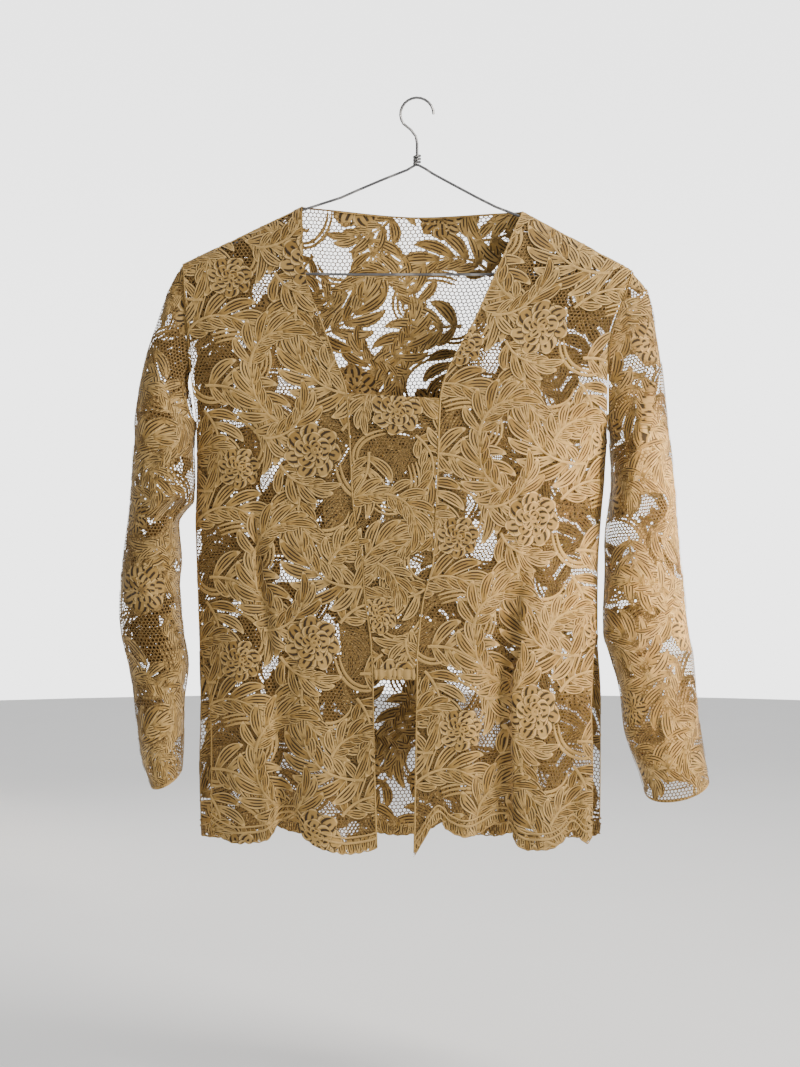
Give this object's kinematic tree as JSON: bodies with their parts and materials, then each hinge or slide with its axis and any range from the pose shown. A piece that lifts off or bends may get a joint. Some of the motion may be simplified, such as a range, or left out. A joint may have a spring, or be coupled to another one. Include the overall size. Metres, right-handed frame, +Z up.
{
  "type": "kebaya blouse on hanger",
  "caption": "Long-sleeved corded lace kebaya blouse with an open V neck, a centre front panel and a scalloped hem, hung flat on a plain wire hanger.",
  "frame": {"origin": "the inside top of the hanger's hook, where the rod bears", "axes": "+Z up along the blouse's length, the blouse's front faces -Y, +X towards the wearer's left side"},
  "size_m": [0.5902, 0.0854, 0.7567],
  "materials": {
    "front_right": "matt golden-tan corded floral lace",
    "front_left": "matt golden-tan corded floral lace",
    "back": "matt golden-tan corded floral lace",
    "sleeve_right": "matt golden-tan corded floral lace",
    "sleeve_left": "matt golden-tan corded floral lace",
    "kutu_baru_panel": "matt golden-tan corded floral lace",
    "front_facing_right": "matt golden-tan corded floral lace",
    "front_facing_left": "matt golden-tan corded floral lace",
    "hanger": "dark grey wire, satin"
  },
  "bodies": {
    "root": {"front_right": "front_right", "front_left": "front_left", "back": "back", "sleeve_right": "sleeve_right", "sleeve_left": "sleeve_left", "kutu_baru_panel": "kutu_baru_panel", "front_facing_right": "front_facing_right", "front_facing_left": "front_facing_left", "hanger": "hanger"}
  },
  "joints": []
}
